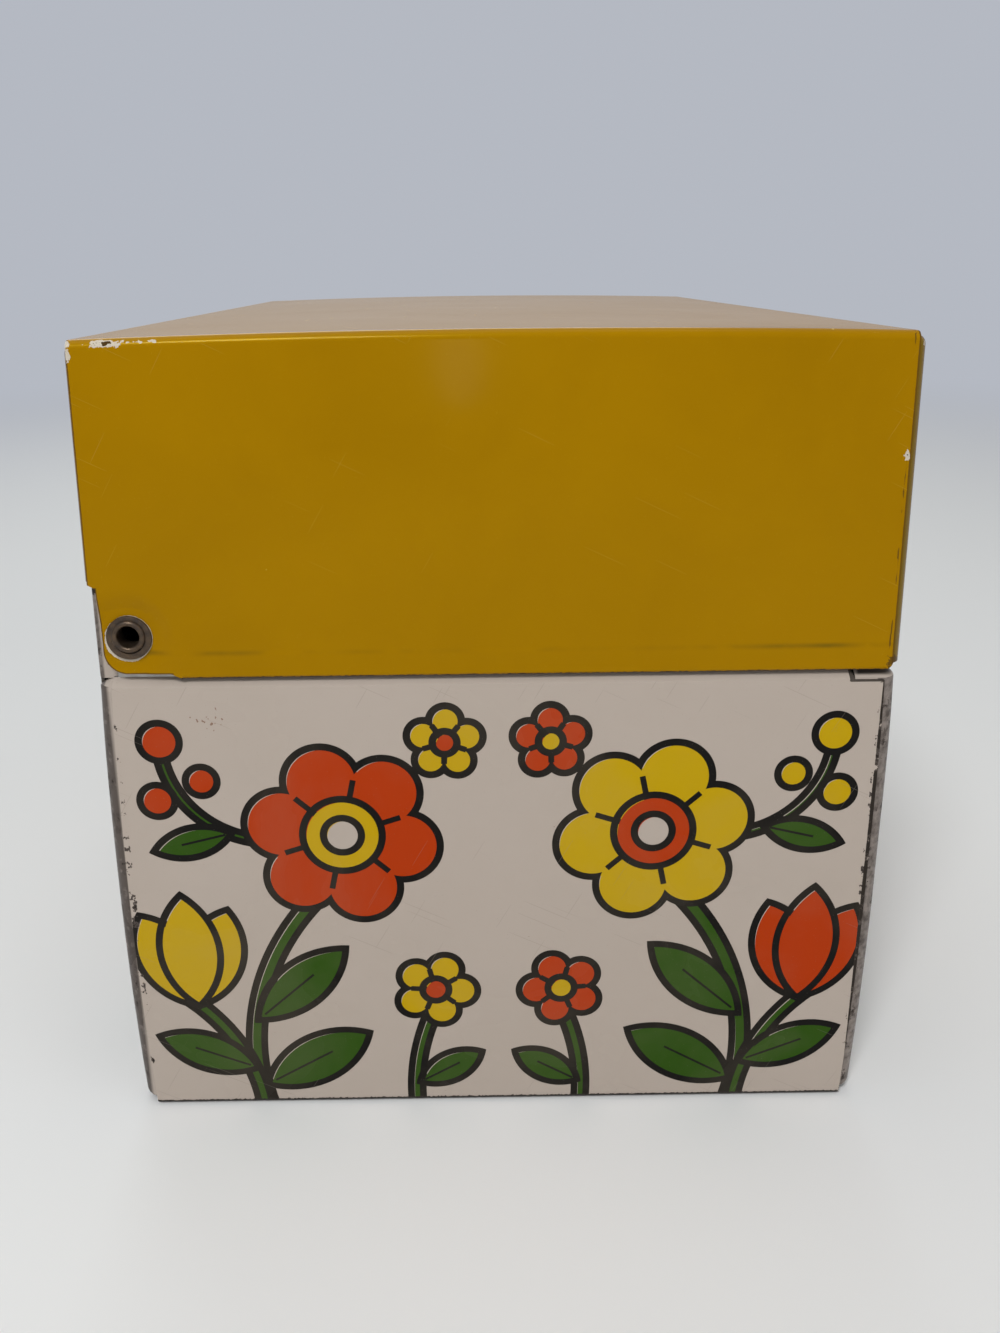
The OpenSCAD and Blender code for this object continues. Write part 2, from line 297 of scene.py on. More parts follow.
printSetup = {
    "bed": 44.4,  # width of one bed of flowers
    "slip": (0.26, 0.20),  # how far the colours missed the black plate
    "shrink": 0.20,  # and how far they stop short of its line's middle
    "line": 0.43,  # half the width of the black line
    "orange": (0.415, 0.036, 0.0005, 1),
    "yellow": (0.50, 0.318, 0.001, 1),
    "green": (0.025, 0.073, 0.003, 1),
    "white": (0.455, 0.386, 0.333, 1),
    "black": (0.006, 0.005, 0.004, 1),
    "rib": {"half": 0.14, "middle": -0.14, "reach": 0.28},  # the last two as shares of a leaf's length
    "spoke": 0.8,  # width of the lines between petals, as a share of the line's
    "hidden": 5.0,  # how far the hidden side of a stem's circle is moved out of sight
    "stems": [  # centre, radius, half width, low and high end, side of the centre
        ((-24.0, 8.0), 31.6, 0.95, -3.0, 30.0, 1),
        ((30.0, -2.0), 23.0, 0.80, -3.0, 16.0, -1),
        ((-42.0, 2.0), 30.0, 0.75, -3.0, 15.0, 1),
        ((4.0, 49.0), 12.0, 0.55, 36.0, 48.5, 1),
    ],
    "leaves": [  # root, angle, length, width
        ((6.6, 3.0), 150, 15.0, 6.6),
        ((7.2, 12.5), 138, 15.0, 6.0),
        ((7.6, 5.5), 22, 12.8, 5.2),
        ((-12.4, 3.0), 150, 9.0, 4.2),
        ((8.6, 38.0), -14, 9.5, 3.8),
    ],
    "berries": [((16.0, 49.5), 2.3), ((16.8, 42.2), 2.0), ((11.6, 44.6), 1.8)],
    "tulip": {
        "place": (14.2, 14.6),
        "turn": 86,
        "length": 15.4,
        "width": 7.2,
        "spread": 22,
        "shorter": 0.06,
    },
    "blossoms": [  # place, turn, lobes, reach, lobe, which colour the petals have, rings
        ((-14.6, 16.6), 40, 5, 3.0, 2.1, 1, (1.6,)),
        ((-16.2, 49.0), 20, 5, 2.6, 1.85, 1, (1.4,)),
        ((-4.2, 37.6), 12, 6, 7.1, 4.35, 0, (4.6, 2.2)),
    ],
}


def drawShape(tree, canvas, fillDistance, lineDistance, fill):
    # one shape's colour, and the black line over its edge
    canvas = mixColour(tree, below(tree, fillDistance, -printSetup["shrink"]), canvas, fill)
    onLine = mathNode(tree, "COMPARE", lineDistance, 0.0, printSetup["line"])
    return mixColour(tree, onLine, canvas, printSetup["black"])


def makeFloralPrint(s):
    tree, given, made = newGroup("floralPrint", {"Vector": None, "Bed Shift": 0.0}, ["Color"])
    across, up, _ = splitVector(tree, given["Vector"])
    moved = add(tree, across, given["Bed Shift"])
    bed = mathNode(tree, "FLOOR", mathNode(tree, "DIVIDE", moved, s["bed"]))
    odd = mathNode(tree, "FLOORED_MODULO", bed, 2.0)
    local = subtract(tree, mathNode(tree, "FLOORED_MODULO", moved, s["bed"]), s["bed"] / 2)
    side = subtract(tree, 1.0, product(tree, odd, 2.0))
    place = joinVector(tree, product(tree, local, side), up)
    slip = joinVector(tree, product(tree, side, s["slip"][0]), s["slip"][1])
    slipped = vectorNode(tree, "ADD", place, slip)
    colours = (mixColour(tree, odd, s["orange"], s["yellow"]),
               mixColour(tree, odd, s["yellow"], s["orange"]))
    canvas = s["white"]

    def twice(group, at, turn=0.0, **values):
        # the shape as its colour falls, and as its black line does
        both = []
        for vector in (slipped, place):
            mapped = mappingNode(tree, vector, (*at, 0), (0, 0, math.radians(turn)), kind="TEXTURE")
            both.append(useGroup(tree, group, Vector=mapped, **values))
        return both

    def drawLeaf(canvas, root, turn, length, width, fill, rib=True):
        radius = (length * length / 4 + width * width / 4) / width
        angle = math.radians(turn)
        centre = (root[0] + math.cos(angle) * length / 2, root[1] + math.sin(angle) * length / 2)
        fillLeaf, lineLeaf = twice(leafShape, centre, turn, Radius=radius, Sink=radius - width / 2)
        canvas = drawShape(tree, canvas, fillLeaf["Distance"], lineLeaf["Distance"], fill)
        if rib:
            mapped = mappingNode(tree, place, (*centre, 0), (0, 0, angle), kind="TEXTURE")
            x, y, _ = splitVector(tree, mapped)
            thin = mathNode(tree, "COMPARE", y, 0.0, s["rib"]["half"])
            inner = mathNode(tree, "COMPARE", x, length * s["rib"]["middle"], length * s["rib"]["reach"])
            canvas = mixColour(tree, product(tree, thin, inner), canvas, s["black"])
        return canvas

    for centre, radius, half, low, high, stemSide in s["stems"]:
        fillArc, lineArc = twice(arcShape, centre, Radius=radius, Half_Width=half)
        window = mathNode(tree, "COMPARE", up, (low + high) / 2, (high - low) / 2)
        isSide = above if stemSide > 0 else below
        nearSide = isSide(tree, splitVector(tree, place)[0], centre[0])
        hide = mapNode(tree, product(tree, window, nearSide), 0, 1, s["hidden"], 0.0)
        canvas = drawShape(tree, canvas, add(tree, fillArc["Distance"], hide),
                           add(tree, lineArc["Distance"], hide), s["green"])

    for leaf in s["leaves"]:
        canvas = drawLeaf(canvas, *leaf, s["green"])

    tulip = s["tulip"]
    for lean in (tulip["spread"], -tulip["spread"], 0):
        length = tulip["length"] - abs(lean) * tulip["shorter"]
        canvas = drawLeaf(canvas, tulip["place"], tulip["turn"] + lean, length, tulip["width"], colours[1],
                          rib=False)

    for centre, radius in s["berries"]:
        fillArc, lineArc = twice(arcShape, centre, Radius=0.0, Half_Width=radius)
        canvas = drawShape(tree, canvas, fillArc["Distance"], lineArc["Distance"], colours[0])

    for centre, turn, lobes, reach, lobe, petals, rings in s["blossoms"]:
        sector = 2 * math.pi / lobes
        fillOne, lineOne = twice(blossomShape, centre, turn, Sector=sector, Reach=reach, Lobe=lobe)
        # the lobes and the disc inside them are one shape
        fillBody, lineBody = (lowest(tree, found["Distance"], subtract(tree, found["Radius"], reach))
                              for found in (fillOne, lineOne))
        canvas = drawShape(tree, canvas, fillBody, lineBody, colours[petals])
        spoke = below(tree, lineOne["Spoke"], s["line"] * s["spoke"])
        inside = below(tree, lineOne["Radius"], reach)
        canvas = mixColour(tree, product(tree, spoke, inside), canvas, s["black"])
        for radius, fill in zip(rings, (colours[1 - petals], s["white"])):
            canvas = drawShape(tree, canvas, subtract(tree, fillOne["Radius"], radius),
                               subtract(tree, lineOne["Radius"], radius), fill)

    plug(tree, made["Color"], canvas)
    return tree


floralPrint = makeFloralPrint(printSetup)
print("print drawn")


# How far the sheets bow and spread from their flat shapes, in millimetres

pillow = {
    "bodySide": 0.75,  # how far the long walls bow out at half height
    "bodyTopFront": 0.4,  # and still stand out at the shoulder, in front and at the rear
    "bodyTopRear": 0.08,
    "bodyTopFrom": 0.55,  # share of the shoulder's height where that begins
    "bodyEnd": 0.35,  # how far the body's end walls bow out
    "lidFlareFront": 0.7,  # how far the lid's long skirts spread at their lower edge
    "lidFlareRear": 0.78,
    "lidEnd": 0.4,  # how far the lid's end panels bow out
    "lidCrown": 0.68,  # rise of the top between its long edges
    "lidLift": 0.12,  # and at them
    "liftFrom": 0.15,  # share of the lid's height where the rise begins
    "rearOut": 0.10,  # how far the body's rear corners stand out under the ears
    "rearOutX": (61.0, 64.3),
    "rearOutY": (42.4, 43.8),
    "rearOutFrom": 0.5,  # share of the shoulder's height where that begins
    "rearOutLost": 0.4,  # share of it lost towards the rim
    "rearOutLoss": 4.0,  # and the height that takes
    "endReach": (0.4, 0.3),  # how much further the lid's end panels reach round the corners,
    "endReachFrom": (1.8, 1.4),  # and how far from their edges that begins, in front and at the rear
    "endReachX": (65.3, 66.0),
    "skirtCut": (tin["rearEdge"] - 0.16, tin["rearEdge"] - 0.02),
    "skirtLift": 0.33,  # how much higher the rear skirt ends
    "skirtFade": 3.2,
    "hemStep": 0.06,  # how far the folded edge stands out below its crease
    "hemBlend": 0.36,
    "hemLines": (-0.35, -0.1, 0.1, 0.35),
    "hemFromHinge": (5.4, 8.5),  # the step ends short of the hinge and of the corner bends
    "hemFromCorner": 2.0,
    "grid": (5.2, 5.2, 4.0),
    "shoulderBend": 0.28,
    "shoulderAngles": (0.3, 1.2),  # least and greatest angle of the folds that are rounded
}


# Wear that the enamels share

def makeEdgeDistance():
    # distance from the nearest edge of a box of the given half size, in millimetres
    tree, given, made = newGroup("edgeDistance", {"Vector": None, "Half Size": (50, 50, 50)}, ["Distance"])
    gap = vectorNode(tree, "SUBTRACT", given["Half Size"], vectorNode(tree, "ABSOLUTE", given["Vector"]))
    a, b, c = splitVector(tree, gap)
    lower = lowest(tree, a, b)
    higher = highest(tree, a, b)
    plug(tree, made["Distance"], highest(tree, lower, lowest(tree, higher, c)))
    return tree


def makeFineMarks(s):
    # hairline scratches are the middles of a few long thin cells, and specks those of round ones
    tree, given, made = newGroup("fineMarks", {"Vector": None}, ["Scratch", "Smudge", "Speck"])
    found = []
    for turn, size in s["needles"]:
        mapped = mappingNode(tree, given["Vector"], s["start"], turn, size, kind="TEXTURE")
        cells = addNode(tree, "TexVoronoi", Vector=mapped, Scale=1.0)
        rare = above(tree, splitVector(tree, cells["Color"])[0], s["rare"])
        found.append(product(tree, rare, below(tree, cells["Distance"], s["thin"])))
    plug(tree, made["Scratch"], highest(tree, *found))
    plug(tree, made["Smudge"], noiseNode(tree, given["Vector"], 0.045, 4.0, 0.6, 0.4))
    cells = addNode(tree, "TexVoronoi", Vector=given["Vector"], Scale=0.11, Randomness=1.0)
    size = mapNode(tree, splitVector(tree, cells["Color"])[0], *s["specks"])
    plug(tree, made["Speck"], below(tree, cells["Distance"], size))
    return tree


def makeWearNoise():
    tree, given, made = newGroup("wearNoise", {"Vector": None}, ["Worn", "Fine"])
    rough = noiseNode(tree, given["Vector"], 0.55, 4.0, 0.7)
    fine = noiseNode(tree, given["Vector"], 2.6, 3.0, 0.6)
    plug(tree, made["Worn"], add(tree, rough, mapNode(tree, fine, 0.2, 0.8, -0.11, 0.11)))
    plug(tree, made["Fine"], fine)
    return tree


def makePaintChip():
    # a ragged chip: bare metal in the middle, primer round it
    tree, given, made = newGroup("paintChip", {"Vector": None, "Centre": None, "Stretch": (1, 1, 1),
                                              "Radius": 1.0}, ["Primer", "Metal"])
    away = vectorNode(tree, "SUBTRACT", given["Vector"], given["Centre"])
    away = vectorNode(tree, "MULTIPLY", away, given["Stretch"])
    ragged = mapNode(tree, noiseNode(tree, given["Vector"], 1.3, 3.0, 0.65), 0.25, 0.75, -0.36, 0.36)
    reach = add(tree, vectorNode(tree, "LENGTH", away), ragged)
    plug(tree, made["Primer"], below(tree, reach, given["Radius"]))
    inner = subtract(tree, product(tree, given["Radius"], 0.9), 0.22)
    plug(tree, made["Metal"], below(tree, reach, inner))
    return tree


markSetup = {
    "start": (3.1, 1.7, 0.4),
    "needles": [  # turn, and size of a cell in millimetres
        ((0.45, 0.0, 0.0), (0.3, 30.0, 0.3)),
        ((-1.05, 0.0, 0.0), (0.3, 19.0, 0.3)),
        ((0.0, 0.0, -1.15), (0.3, 26.0, 0.3)),
        ((0.0, 0.62, 1.57), (0.35, 28.0, 0.35)),
    ],
    "rare": 0.86,  # share of the cells without a scratch
    "thin": 0.11,  # half a scratch's width, as a share of its cell
    "specks": (0.55, 1.0, 0.0, 0.028),
}
edgeDistance = makeEdgeDistance()
fineMarks = makeFineMarks(markSetup)
wearNoise = makeWearNoise()
paintChip = makePaintChip()


# Materials

finish = {
    "lidYellow": (0.350, 0.173, 0.0004, 1),
    "lidDeep": (0.322, 0.157, 0.0003, 1),
    "lidScratch": (0.46, 0.27, 0.05, 1),
    "lidSpeck": (0.66, 0.50, 0.16, 1),
    "bendShadeOlive": (0.130, 0.086, 0.003, 1),
    "scuffBrown": (0.075, 0.036, 0.010, 1),
    "creaseShade": (0.085, 0.062, 0.007, 1),
    "rustyMetal": (0.046, 0.020, 0.011, 1),
    "primer": (0.56, 0.50, 0.42, 1),
    "scuffed": (0.080, 0.064, 0.056, 1),
    "scuffedPale": (0.250, 0.212, 0.190, 1),
    "rust": (0.16, 0.065, 0.03, 1),
    "bareMetal": (0.034, 0.027, 0.022, 1),
    "soil": (0.33, 0.27, 0.20, 1),
    "whiteScratch": (0.20, 0.17, 0.14, 1),
    "tinGrey": (0.45, 0.43, 0.40, 1),
    "tinDull": (0.324, 0.3096, 0.288, 1),
    "edgeGrey": (0.10, 0.085, 0.07, 1),
    "edgeDull": (0.072, 0.0612, 0.0504, 1),
    "tinRust": (0.10, 0.048, 0.022, 1),
    "brass": (0.120, 0.082, 0.052, 1),
    "brassDark": (0.045, 0.032, 0.024, 1),
}


def newMaterial(name):
    material = bpy.data.materials.new(name)
    material.use_nodes = True
    tree = material.node_tree
    shader = tree.nodes["Principled BSDF"]
    place = vectorNode(tree, "MULTIPLY", addNode(tree, "TexCoord")["Object"], (1000, 1000, 1000))
    return material, tree, shader, place


def bumpNode(tree, height, strength, distance):
    return addNode(tree, "Bump", Height=height, Strength=strength, Distance=distance)["Normal"]


def distanceTo(tree, value, place):
    return absolute(tree, subtract(tree, value, place))


def isWorn(tree, wear, limit):
    return above(tree, wear["Worn"], limit)


def finishEnamel(tree, shader, place, marks, bare, look):
    # gloss, coat and relief: chipped and rubbed places are dull and lie lower
    gloss = mapNode(tree, marks["Smudge"], 0.3, 0.7, *look["gloss"])
    gloss = add(tree, gloss, product(tree, marks["Scratch"], look["scratchDulls"]))
    plugAll(tree, shader, Roughness=mixNumber(tree, bare, gloss, look["bareRoughness"]),
            Coat_Weight=mixNumber(tree, bare, look["coat"], 0.0), Coat_Roughness=look["coatRoughness"],
            Specular_IOR_Level=look["level"], Specular_Tint=look["tint"])
    peel = product(tree, noiseNode(tree, place, 0.5, 2.0), look["peel"])
    height = subtract(tree, peel, product(tree, bare, look["chipDepth"]))
    plugAll(tree, shader, Normal=bumpNode(tree, height, 0.35, 0.00006))


ear = {  # middle and radius of the ear's round corner, and its front end
    "corner": (tin["lidEndRear"] - 2.6, tin["lidEdge"] + 0.6 + 2.6),
    "radius": 2.6,
    "front": hinge.y - 4.6,
    "line": (0.22, 0.1),  # how far inside the corner its dark line begins and is full
}
lidWear = {
    "streaks": (1.6, 1.6, 0.16),  # scale of the noise that breaks the scuffs into upright streaks
    "crease": (0.05, 0.42),  # how far from the crease its painted shade is full and ends
    "creaseEnds": (18.0, 36.0),  # and where along Y it thickens
    "topCorner": (3.2, 0.6, 0.5),  # how far from the sides the bare top corners begin and are full
    "bendShade": (tin["cornerX"] + 0.3, tin["cornerX"] + 1.3),  # places on the corner bends along X: the part with painted shade, and the scuffs
    "bendScuff": (tin["cornerX"] + 1.1, tin["cornerX"] + 1.8),  # the dulled part, and the scuffs
    "bendLine": (tin["cornerX"] + 0.88, 0.12, 0.40),  # their dark line's middle, full part and end
    "frontEdge": (43.88, 43.2),  # where the end panels' cut edges are, low and high
    "rearEdge": (44.24, tin["lidEndRear"] + 0.3),
    "edgeScuff": (0.5, 0.08, 0.34),  # the same for the scuffs, measured from the front edge
    "frontLine": (0.14, 0.24),  # and where the dark lines of both edges are full and end
    "rearLine": (0.10, 0.20),
    "ring": {"offset": (0.20, -0.46), "radius": 2.57, "ragged": 0.10},
    "thinRing": {"offset": (-0.03, -0.2), "radius": 2.53, "ragged": 0.06},
    "corner": {"place": (66.2, -44.3, 57.6), "reach": (0.4, 3.0)},
    "rubbedEdge": 0.17,  # height of the bare line along the lower edge
    "chips": [  # place, stretch, radius
        ((-66.3, 39.8, 93.2), (1.0, 0.28, 1.1), 0.42),
        ((-66.3, 37.6, 93.3), (1.0, 0.40, 1.3), 0.16),
        ((-66.4, 36.5, 93.4), (1.0, 0.40, 1.4), 0.16),
        ((-66.4, 34.9, 93.5), (1.0, 0.60, 1.4), 0.10),
        ((-66.3, 43.7, 92.7), (1.0, 1.1, 0.5), 0.44),
        ((-65.6, -44.2, 92.7), (0.7, 1.0, 0.6), 0.40),
        ((-66.4, -43.1, 81.0), (1.0, 1.3, 0.9), 0.36),
        ((66.1, 43.6, 92.9), (0.8, 0.5, 0.8), 0.80),
        ((66.2, -41.8, 93.2), (1.0, 0.45, 0.9), 0.66),
        ((22.0, -44.3, 93.0), (0.35, 1.0, 1.2), 0.50),
    ],
    "look": {"gloss": (0.21, 0.25), "scratchDulls": 0.2, "bareRoughness": 0.55, "coat": 0.04,
             "coatRoughness": 0.1, "level": 0.18, "tint": (1.0, 0.78, 0.03, 1), "peel": 0.3,
             "chipDepth": 0.6},
}


def lidEnamel(name, isSkirt):
    material, tree, shader, place = newMaterial(name)
    x, y, z = splitVector(tree, place)
    away = absolute(tree, x)
    marks = useGroup(tree, fineMarks, Vector=place)
    wear = useGroup(tree, wearNoise, Vector=place)
    smudged = mapNode(tree, marks["Smudge"], 0.35, 0.7)
    colour = mixColour(tree, smudged, finish["lidYellow"], finish["lidDeep"])
    colour = mixColour(tree, product(tree, marks["Scratch"], 0.3), colour, finish["lidScratch"])
    colour = mixColour(tree, product(tree, marks["Speck"], 0.8), colour, finish["lidSpeck"])
    streaks = noiseNode(tree, mappingNode(tree, place, scale=lidWear["streaks"]), 1.0, 3.0, 0.6)

    # painted shade in the crease over the folded edge, broken into patches, thicker towards the corners
    crease = mapNode(tree, distanceTo(tree, z, tin["lidEdge"] + tin["hem"]), *lidWear["crease"], 1.0, 0.0)
    patch = mapNode(tree, noiseNode(tree, place, 0.14, 3.0), 0.40, 0.62)
    nearEnds = mapNode(tree, absolute(tree, y), *lidWear["creaseEnds"], 0.3, 1.0)
    colour = mixColour(tree, product(tree, crease, patch, nearEnds, 0.62), colour, finish["creaseShade"])

    # the paint is rubbed through along the edges of the lid, and most at its top corners
    middle = (tin["top"] + tin["lidEdge"]) / 2
    half = (tin["halfLength"], tin["halfWidth"], (tin["top"] - tin["lidEdge"]) / 2)
    fromMiddle = vectorNode(tree, "SUBTRACT", place, (0, 0, middle))
    edge = useGroup(tree, edgeDistance, Vector=fromMiddle, Half_Size=half)["Distance"]
    limit = mapNode(tree, edge, 0.1, 1.0, 0.77, 1.2)
    start, side, under = lidWear["topCorner"]
    corner = product(tree, mapNode(tree, away, tin["halfLength"] - start, tin["halfLength"] - side),
                     mapNode(tree, absolute(tree, y), tin["halfWidth"] - start, tin["halfWidth"] - side),
                     mapNode(tree, z, tin["top"] - start, tin["top"] - under), 0.2)
    limit = subtract(tree, limit, corner)
    if isSkirt:
        # the front corner bends get painted shade in olive where they turn away, and scuffs, and every bend
        # is worn in a dark line
        inFront = below(tree, y, 0.0)
        bend = mapNode(tree, away, *lidWear["bendShade"])
        colour = mixColour(tree, product(tree, bend, inFront, 0.75), colour, finish["bendShadeOlive"])
        scuff = mapNode(tree, away, *lidWear["bendScuff"], 1.1, 0.60)
        scuff = add(tree, scuff, subtract(tree, wear["Worn"], streaks))
        scuff = mixNumber(tree, inFront, 1.1, scuff)
        at, full, end = lidWear["bendLine"]
        line = mapNode(tree, distanceTo(tree, away, at), full, end, 0.34, 1.1)
    else:
        # the cut edges of the panel, in front and at the rear, have dark lines and broken scuffs
        frontEdge = mapNode(tree, z, tin["lidEdge"], tin["top"], *lidWear["frontEdge"])
        rearEdge = mapNode(tree, z, tin["rearEdge"], tin["top"], *lidWear["rearEdge"])
        fromFront = add(tree, y, frontEdge)
        fromRear = subtract(tree, rearEdge, y)
        at, full, end = lidWear["edgeScuff"]
        scuff = mapNode(tree, distanceTo(tree, fromFront, at), full, end, 0.52, 1.1)
        scuff = add(tree, scuff, subtract(tree, wear["Worn"], streaks))
        edgeLine = lowest(tree, mapNode(tree, fromFront, *lidWear["frontLine"], 0.28, 1.1),
                          mapNode(tree, fromRear, *lidWear["rearLine"], 0.26, 1.1))
        # and so has the ear, past its round corner
        pastY = highest(tree, subtract(tree, y, ear["corner"][0]), 0.0)
        pastZ = highest(tree, subtract(tree, ear["corner"][1], z), 0.0)
        past = vectorNode(tree, "LENGTH", joinVector(tree, pastY, pastZ))
        line = mapNode(tree, past, *(ear["radius"] - part for part in ear["line"]), 1.1, 0.3)
        onEar = product(tree, below(tree, z, tin["rearEdge"]), above(tree, y, ear["front"]))
        line = mixNumber(tree, onEar, edgeLine, line)
    # the front lower corners are scuffed brown
    fromCorner = distanceFrom(tree, joinVector(tree, away, y, z), lidWear["corner"]["place"])
    scuff = lowest(tree, scuff, mapNode(tree, fromCorner, *lidWear["corner"]["reach"], 0.22, 1.1))
    colour = mixColour(tree, product(tree, isWorn(tree, wear, scuff), 0.85), colour, finish["scuffBrown"])
    colour = mixColour(tree, product(tree, isWorn(tree, wear, line), 0.8), colour, finish["scuffBrown"])
    primer = isWorn(tree, wear, limit)
    metal = isWorn(tree, wear, add(tree, limit, 0.035))
    for centre, stretch, radius in lidWear["chips"]:
        chip = useGroup(tree, paintChip, Vector=place, Centre=centre, Stretch=stretch, Radius=radius)
        primer = highest(tree, primer, chip["Primer"])
        metal = highest(tree, metal, chip["Metal"])
    if not isSkirt:
        # paint rubbed off round the washers
        flat = joinVector(tree, 0.0, y, z)
        for ring in (lidWear["ring"], lidWear["thinRing"]):
            centre = (0.0, hinge.y + ring["offset"][0], hinge.z + ring["offset"][1])
            ragged = mapNode(tree, wear["Worn"], 0.3, 0.7, -ring["ragged"], ring["ragged"])
            reach = add(tree, distanceFrom(tree, flat, centre), ragged)
            primer = highest(tree, primer, below(tree, reach, ring["radius"]))
    ragged = mapNode(tree, wear["Fine"], 0.3, 0.7, -0.1, 0.1)
    metal = highest(tree, metal, below(tree, add(tree, z, ragged), tin["lidEdge"] + lidWear["rubbedEdge"]))
    colour = mixColour(tree, primer, colour, finish["primer"])
    colour = mixColour(tree, metal, colour, finish["rustyMetal"])
    plugAll(tree, shader, Base_Color=colour)
    finishEnamel(tree, shader, place, marks, highest(tree, primer, metal), lidWear["look"])
    return material


bodyWear = {
    "rust": {"place": (66.5, 32.4, 52.2), "reach": (0.5, 4.2)},
    # height of the painted shade along the foot
    "footShade": 0.75,
    "bend": (tin["cornerX"] + 0.3, tin["cornerX"] + 0.7),  # where the dark strips begin along X
    "neckBend": (tin["cornerX"] - 0.5, tin["cornerX"] - 0.2),
    "bendLine": (tin["cornerX"] + 0.92, 0.1, 0.4),  # the darker line's middle, full part and end
    "stripFront": (tin["cornerY"], tin["cornerY"] + 0.1),
    "stripRear": (43.3, 43.75),  # where the rear corners' dark strip begins along Y
    "stripNeck": (43.85, 44.1),
    "seam": (tin["endHalf"] - 0.5, tin["endHalf"]),
    "seamFront": (42.95, 43.05),  # the dark line along the end panels' front edges
    # where the painted shadow under the lid's front corners lies on the neck
    "neckGapShade": {"low": (56.15, 56.4), "high": (62.0, 58.0), "front": (-40.1, -40.5),
                "side": (tin["cornerX"] - 3.0, tin["cornerX"] - 1.0)},
    "earShadows": [  # painted shadow under the ear and under the rear skirt's end: place, stretch, radius
        ((65.0, 42.9, 58.6), (0.8, 1.0, 0.7), 0.42),
        ((65.1, 44.4, tin["rearEdge"] - 0.5), (0.8, 1.0, 0.6), 0.62),
    ],
    "cut": {  # where the end panels' front corners are cut away
        "front": -39.4,
        "low": 55.8,
        "high": 57.2,
        "line": (0.15, 0.12, 0.1),
    },
    "middle": 40.0,  # height that the worn edges are measured from
    "look": {"gloss": (0.20, 0.32), "scratchDulls": 0.2, "bareRoughness": 0.5, "coat": 0.06,
             "coatRoughness": 0.06, "level": 0.07, "tint": (1, 1, 1, 1), "peel": 0.3, "chipDepth": 0.5},
}


def wallWear(tree, colour, place, axes):
    # the bent corners are dull and dark over their whole height, with a darker line along them
    away, y, z = axes
    inRear = above(tree, y, 0.0)
    onBody = below(tree, z, tin["shoulder"] - 0.1)
    strip = mapNode(tree, away, *bodyWear["bend"])
    onBend = mapNode(tree, product(tree, y, -1.0), *bodyWear["stripFront"])
    onBend = highest(tree, onBend, mapNode(tree, y, *bodyWear["stripRear"]))
    neckStrip = product(tree, mapNode(tree, away, *bodyWear["neckBend"]),
                        mapNode(tree, y, *bodyWear["stripNeck"]), subtract(tree, 1.0, onBody))
    strip = highest(tree, product(tree, strip, onBend, onBody), neckStrip)
    # painted shadow of the dark gap under the lid's front corners, laid on the front corners of the neck
    gapShade = bodyWear["neckGapShade"]
    gapShadow = product(tree, mapNode(tree, z, *gapShade["low"]), mapNode(tree, z, *gapShade["high"]),
                     mapNode(tree, away, *gapShade["side"]), mapNode(tree, y, *gapShade["front"]))
    colour = mixColour(tree, product(tree, gapShadow, 0.9), colour, finish["bareMetal"])
    mottle = noiseNode(tree, place, 0.9, 3.0, 0.6)
    mottle = subtract(tree, mottle, product(tree, inRear, onBody, 0.24))
    mottle = mixColour(tree, mapNode(tree, mottle, 0.32, 0.64), finish["scuffed"], finish["scuffedPale"])
    colour = mixColour(tree, product(tree, strip, 0.94), colour, mottle)
    limit = subtract(tree, 1.1, product(tree, strip, 0.5))
    at, full, end = bodyWear["bendLine"]
    line = mapNode(tree, distanceTo(tree, away, at), full, end, 0.38, 1.1)
    line = mixNumber(tree, product(tree, onBody, subtract(tree, 1.0, inRear)), 1.1, line)
    return colour, lowest(tree, limit, line), highest(tree, onBody, inRear)


def endWear(tree, colour, place, axes):
    # dark seams along the panel's edges, and along the cut that makes room for the front wall's neck
    _, y, z = axes
    half = (tin["halfLength"], tin["halfWidth"], bodyWear["middle"])
    fromMiddle = vectorNode(tree, "SUBTRACT", place, (0, 0, bodyWear["middle"]))
    edge = useGroup(tree, edgeDistance, Vector=fromMiddle, Half_Size=half)["Distance"]
    seam = mapNode(tree, absolute(tree, y), *bodyWear["seam"], 1.1, 0.6)
    sharp = mapNode(tree, product(tree, y, -1.0), *bodyWear["seamFront"], 1.1, 0.34)
    limit = lowest(tree, mapNode(tree, edge, 0.0, 1.0, 0.76, 1.2), lowest(tree, seam, sharp))
    cut = bodyWear["cut"]
    under, behind, start = cut["line"]
    level = product(tree, above(tree, z, cut["low"] - under), below(tree, y, cut["front"]))
    steep = product(tree, below(tree, y, cut["front"] + behind), above(tree, z, cut["low"] - start))
    lined = product(tree, highest(tree, level, steep), below(tree, z, cut["high"]), 0.9)
    return mixColour(tree, lined, colour, finish["bareMetal"]), limit, below(tree, z, tin["shoulder"])


